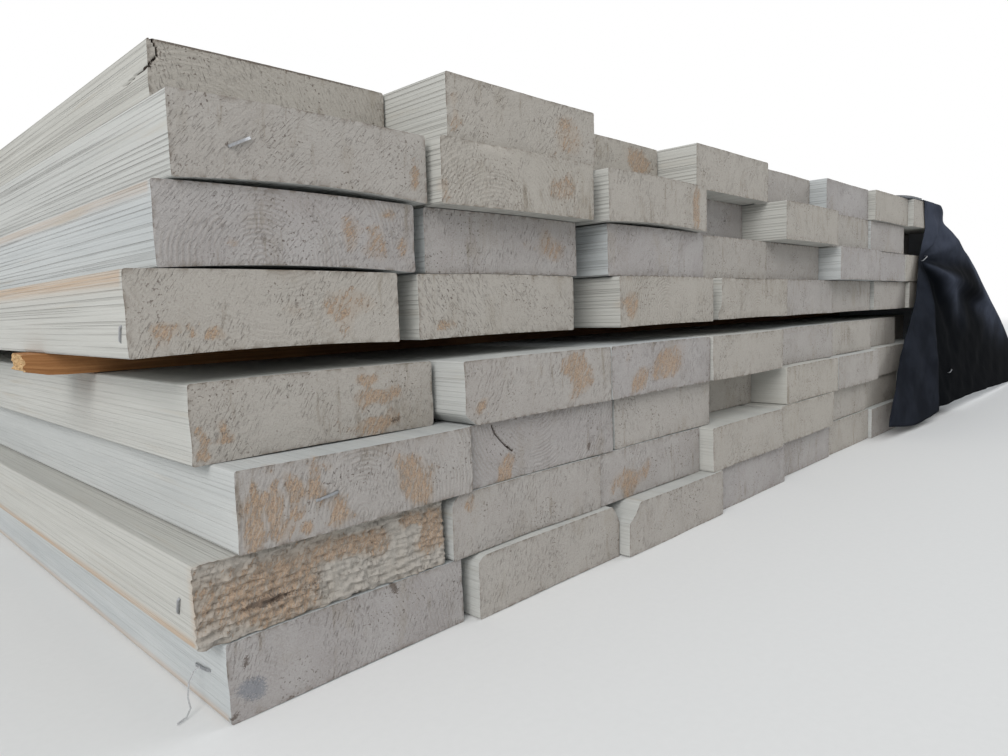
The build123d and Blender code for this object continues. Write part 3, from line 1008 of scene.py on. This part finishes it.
def side_material():
    """Primer rolled over the long faces, with the saw's grooves showing through."""
    m = Material("primed_side", Roughness=0.8, Specular_IOR_Level=0.25)
    grain = m.read("grain")
    bare, dirt_and_split_shade = m.parts(m.read("marks"))[:2]
    tone = m.parts(m.read("tone"))[0]
    cloud = m.noise(m.scaled(grain, (1.0, 1.0, 0.12)), 0.035, detail=4.0, rough=0.6)
    # The same primer as on the ends, painted lighter: painted light on the long faces
    m.ground(m.span(cloud, 0.3, 0.7), (174, 178, 179), (189, 192, 192))
    m.lay((186, 181, 169), tone, -1.0, 1.0, most=0.55)
    line = m.noise(m.scaled(grain, (0.5, 0.55, 0.0016)), detail=1.0, rough=0.5)
    rare = m.times(m.span(line, 0.62, 0.67), 0.75)
    sawn = m.parts(m.read("sawn"))[0]
    grooves = m.times(m.math("MAXIMUM", saw_lines(m, grain), rare), sawn)
    hair = m.noise(m.scaled(grain, (1.2, 1.6, 0.012)), rough=0.6)
    m.tint(m.times(grooves, 0.32), (98, 92, 86))
    m.lay((140, 138, 132), hair, 0.52, 0.72, most=0.22)
    m.lay((206, 208, 206), hair, 0.48, 0.28, most=0.25)
    m.tint(m.times(bare, m.span(hair, 0.35, 0.6, least=0.45, most=0.85)), (178, 146, 114))
    wash = m.noise(m.scaled(grain, (1.0, 1.0, 0.05)), 0.1)
    m.lay((170, 154, 130), wash, 0.6, 0.78, most=0.35)
    grit = m.noise(grain, 0.7, rough=0.7)
    m.lay((116, 108, 98), grit, 0.64, 0.8, most=0.45)
    # Dirt, and painted shade in the split along the side
    m.lay((52, 42, 36), dirt_and_split_shade, 0.3, 0.8)
    m.bump(m.math("SUBTRACT", 1.0, grooves), 0.45, strength=0.9)
    m.bump(hair, 0.25, strength=0.7)
    m.bump(grit, 0.15, strength=0.5)
    return m.finish()


def lath_material():
    """Bare rough-sawn wood, with painted shade far in under the boards."""
    m = Material("bare_lath", Roughness=0.85, Specular_IOR_Level=0.2)
    grain = m.read("grain")
    fibre = m.noise(m.scaled(grain, (0.9, 0.9, 0.02)), detail=5.0, rough=0.65)
    m.ground(m.span(fibre, 0.3, 0.7), (176, 128, 84), (146, 100, 62))
    m.lay((126, 84, 50), ring_lines(m, grain), 0.5, 0.64, most=0.35)
    m.lay((104, 76, 54), m.noise(grain, 0.03, detail=4.0), 0.5, 0.75, most=0.4)
    # Painted shade, deeper the further in under the boards
    m.lay((58, 40, 28), m.parts(m.read("inward"))[0], 20.0, 260.0, most=0.75)
    m.bump(fibre, 0.3, strength=0.6)
    m.bump(m.noise(grain, 0.7), 0.2, strength=0.5)
    return m.finish()


def lath_end_material():
    """Torn light fibres at a lath's ends."""
    m = Material("bare_lath_end", Roughness=0.9, Specular_IOR_Level=0.15)
    tuft = m.noise(m.scaled(m.read("grain"), (0.6, 1.0, 1.0)), 0.9, detail=4.0, rough=0.7)
    m.ground(m.span(tuft, 0.3, 0.7), (216, 186, 142), (158, 120, 80))
    m.bump(tuft, 0.8, strength=0.8)
    return m.finish()


def wrap_material(name, new, lit_colour, dusty):
    """One face of the woven wrap."""
    m = Material(name, Roughness=0.8, Specular_IOR_Level=0.012)
    weave = m.read("weave")
    bands = {"Vector": weave, "Scale": 0.13, "Distortion": 0.3, "Detail": 1.0}
    tapes = m.put("TexWave", bands, bands_direction="X").outputs[1]
    cross = m.put("TexWave", bands, bands_direction="Y").outputs[1]
    wear = m.parts(m.read("wear"))[0]
    cloud = m.span(m.noise(weave, 0.02, detail=4.0), 0.35, 0.65, least=0.75, most=1.1)
    # The face turns lighter where it has painted light and sheen
    m.ground(m.span(m.times(wear, cloud), 0.0, 1.0), new, lit_colour)
    m.lay(dusty, m.noise(weave, 0.2, detail=5.0, rough=0.7), 0.55, 0.8, most=0.12)
    m.bump(m.times(tapes, cross), 0.1, strength=0.4)
    m.bump(m.noise(weave, 0.03, rough=0.5), 1.5, strength=0.3)
    return m.finish()


def plain_material(name, shade, rough, metal):
    """Small parts: galvanised wire and the torn strand, a little uneven."""
    m = Material(name, Roughness=rough, Metallic=metal)
    place = m.put("TexCoord").outputs["Object"]
    m.ground(m.noise(place, 900.0), shade, (120, 118, 116))
    return m.finish()


# Camera, in stack coordinates and degrees, and floor and lamps, in metres in the row frame

CAMERA_SPOT = (-125.1, -306.4, 179.9)
CAMERA_YAW = 45.8
CAMERA_PITCH = -5.452
CAMERA_ROLL = -1.777
CAMERA_LENS = 25.64
SENSOR = 36.0
CLIP_START = 0.02
FLOOR_HALF = 30.0
FLOOR_DROP = 0.0002
FLOOR_TONES = ((0.73, 0.73, 0.725, 1), (0.76, 0.76, 0.755, 1))
# From here to there the floor turns to plain white
FLOOR_FADE = (2.6, 6.5)
WHITE = (1, 1, 1, 1)
SKY_TINT = (0.93, 0.97, 1.0, 1)
SKY_POWER = 0.62
# Lamps: place, size, power and tint
KEY_LAMP = (-4.2, -3.6, 2.7), 3.2, 155, (1.0, 0.985, 0.97)
FILL_LAMP = (3.4, -3.0, 2.6), 3.0, 42, (0.96, 0.98, 1.0)
LAMPS_AIM = (0, -1.5, 0.15)


def make_camera():
    """The camera that was fitted to the photo."""
    yaw, pitch, roll = radians(CAMERA_YAW), radians(CAMERA_PITCH), radians(CAMERA_ROLL)
    ahead = Vector((sin(yaw) * cos(pitch), cos(yaw) * cos(pitch), sin(pitch)))
    level_right = Vector((cos(yaw), -sin(yaw), 0))
    level_up = level_right.cross(ahead)
    right = cos(roll) * level_right + sin(roll) * level_up
    upward = cos(roll) * level_up - sin(roll) * level_right
    data = bpy.data.cameras.new("camera")
    data.lens = CAMERA_LENS
    data.sensor_width = SENSOR
    data.sensor_fit = "HORIZONTAL"
    data.clip_start = CLIP_START
    camera = bpy.data.objects.new("camera", data)
    place = to_row(CAMERA_SPOT)
    camera.matrix_world = Matrix((
        (right.x, upward.x, -ahead.x, place[0]),
        (right.y, upward.y, -ahead.y, place[1]),
        (right.z, upward.z, -ahead.z, place[2]),
        (0, 0, 0, 1),
    ))
    bpy.context.scene.collection.objects.link(camera)
    bpy.context.scene.camera = camera


def plain_rays(m):
    """One for camera rays and reflections, which see plain white, and nought for the rest."""
    path = m.put("LightPath").outputs
    seen = m.math("MAXIMUM", path["Is Camera Ray"], path["Is Glossy Ray"])
    return m.math("MAXIMUM", seen, path["Is Transmission Ray"])


def make_floor():
    """A pale floor that turns to plain white far out."""
    m = Material("floor", Roughness=0.9, Specular_IOR_Level=0.1)
    place = m.put("TexCoord").outputs["Object"]
    m.base = m.mix(m.noise(place, 220.0), *FLOOR_TONES)
    m.finish()
    far = m.put("VectorMath", {0: place}, operation="LENGTH").outputs["Value"]
    seen = m.times(plain_rays(m), m.span(far, *FLOOR_FADE))
    white = m.put("Emission", {"Color": WHITE, "Strength": 1.0}).outputs[0]
    mixed = m.put("MixShader", {0: seen, 1: m.shader.outputs[0], 2: white}).outputs[0]
    m.tree.links.new(mixed, m.output.inputs[0])
    corners = np.array([(-1, -1, 0), (1, -1, 0), (1, 1, 0), (-1, 1, 0)])
    points = FLOOR_HALF * corners - np.array([0, 0, FLOOR_DROP])
    floor = quad_mesh("floor", points, np.array([[0, 1, 2, 3]]), [m.material], np.zeros(1))


def make_light():
    """An overcast sky that the camera sees as plain white, and two soft lamps."""
    world = bpy.data.worlds.new("world")
    world.use_nodes = True
    bpy.context.scene.world = world
    m = Nodes(world.node_tree)
    sky = m.put("Background", {"Color": SKY_TINT, "Strength": SKY_POWER}).outputs[0]
    white = m.put("Background", {"Color": WHITE, "Strength": 1.0}).outputs[0]
    mixed = m.put("MixShader", {0: plain_rays(m), 1: sky, 2: white}).outputs[0]
    m.put("OutputWorld", {0: mixed})
    make_lamp("key", *KEY_LAMP)
    make_lamp("fill", *FILL_LAMP)


def make_lamp(name, place, size, power, tint):
    """A round soft lamp turned to the stack's near end."""
    data = bpy.data.lights.new(name, "AREA")
    data.shape = "DISK"
    data.size = size
    data.energy = power
    data.color = tint
    lamp = bpy.data.objects.new(name, data)
    lamp.location = place
    aim = Vector(LAMPS_AIM) - Vector(place)
    lamp.rotation_euler = aim.to_track_quat("-Z", "Y").to_euler()
    bpy.context.scene.collection.objects.link(lamp)


bpy.context.scene.view_settings.view_transform = "Standard"
make_camera()
make_boards([end_material(), side_material()])
make_laths([lath_end_material(), lath_material()])
faces = [wrap_material("wrap_inside", *WRAP_BLACK), wrap_material("wrap_outside", *WRAP_PALE)]
flap = make_flap(faces)
side = make_side(faces)
make_staples(plain_material("staple_steel", STEEL, rough=0.35, metal=0.85))
make_strand(plain_material("strand", STRAND_WHITE, rough=0.7, metal=0.0))
make_floor()
make_light()
